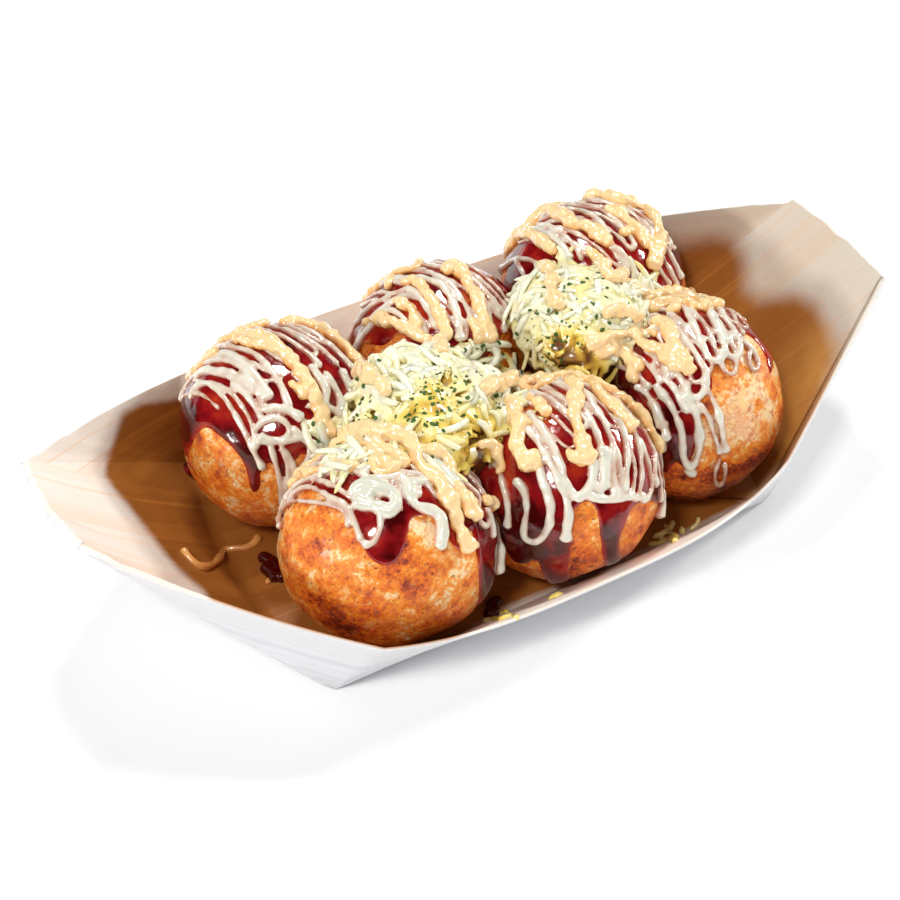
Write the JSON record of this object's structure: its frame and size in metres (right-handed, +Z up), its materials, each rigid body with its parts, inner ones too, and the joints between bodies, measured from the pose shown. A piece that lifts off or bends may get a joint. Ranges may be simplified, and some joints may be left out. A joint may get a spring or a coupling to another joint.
{
  "type": "takoyaki balls in a boat tray",
  "caption": "Round grilled batter balls with drizzled sauces and mounds of shredded cheese, packed in two rows in a folded thin-wood boat tray with raised ends.",
  "frame": {"origin": "middle of the footprint of the whole thing, on the table under the tray", "axes": "+X along the tray's long side, +Y across it towards the back row of balls, +Z up"},
  "size_m": [0.1868, 0.1023, 0.0445],
  "materials": {
    "wood": "planed thin veneer, matt, with fine brown grain lines",
    "dough": "browned batter skin with a moist sheen",
    "sauce": "thick dark brown glossy sauce",
    "white_sauce": "white sauce, glossy and slightly clear",
    "orange_sauce": "pale orange sauce, glossy and lumpy",
    "cheese": "soft pale cheese shreds, moist",
    "herb": "dry dark green flakes"
  },
  "bodies": {
    "root": {"tray": "wood", "ball_front_left": "dough", "ball_front_middle": "dough", "ball_front_right": "dough", "ball_back_left": "dough", "ball_back_middle": "dough", "ball_back_right": "dough", "cheese_left": "cheese", "cheese_right": "cheese"}
  },
  "joints": []
}
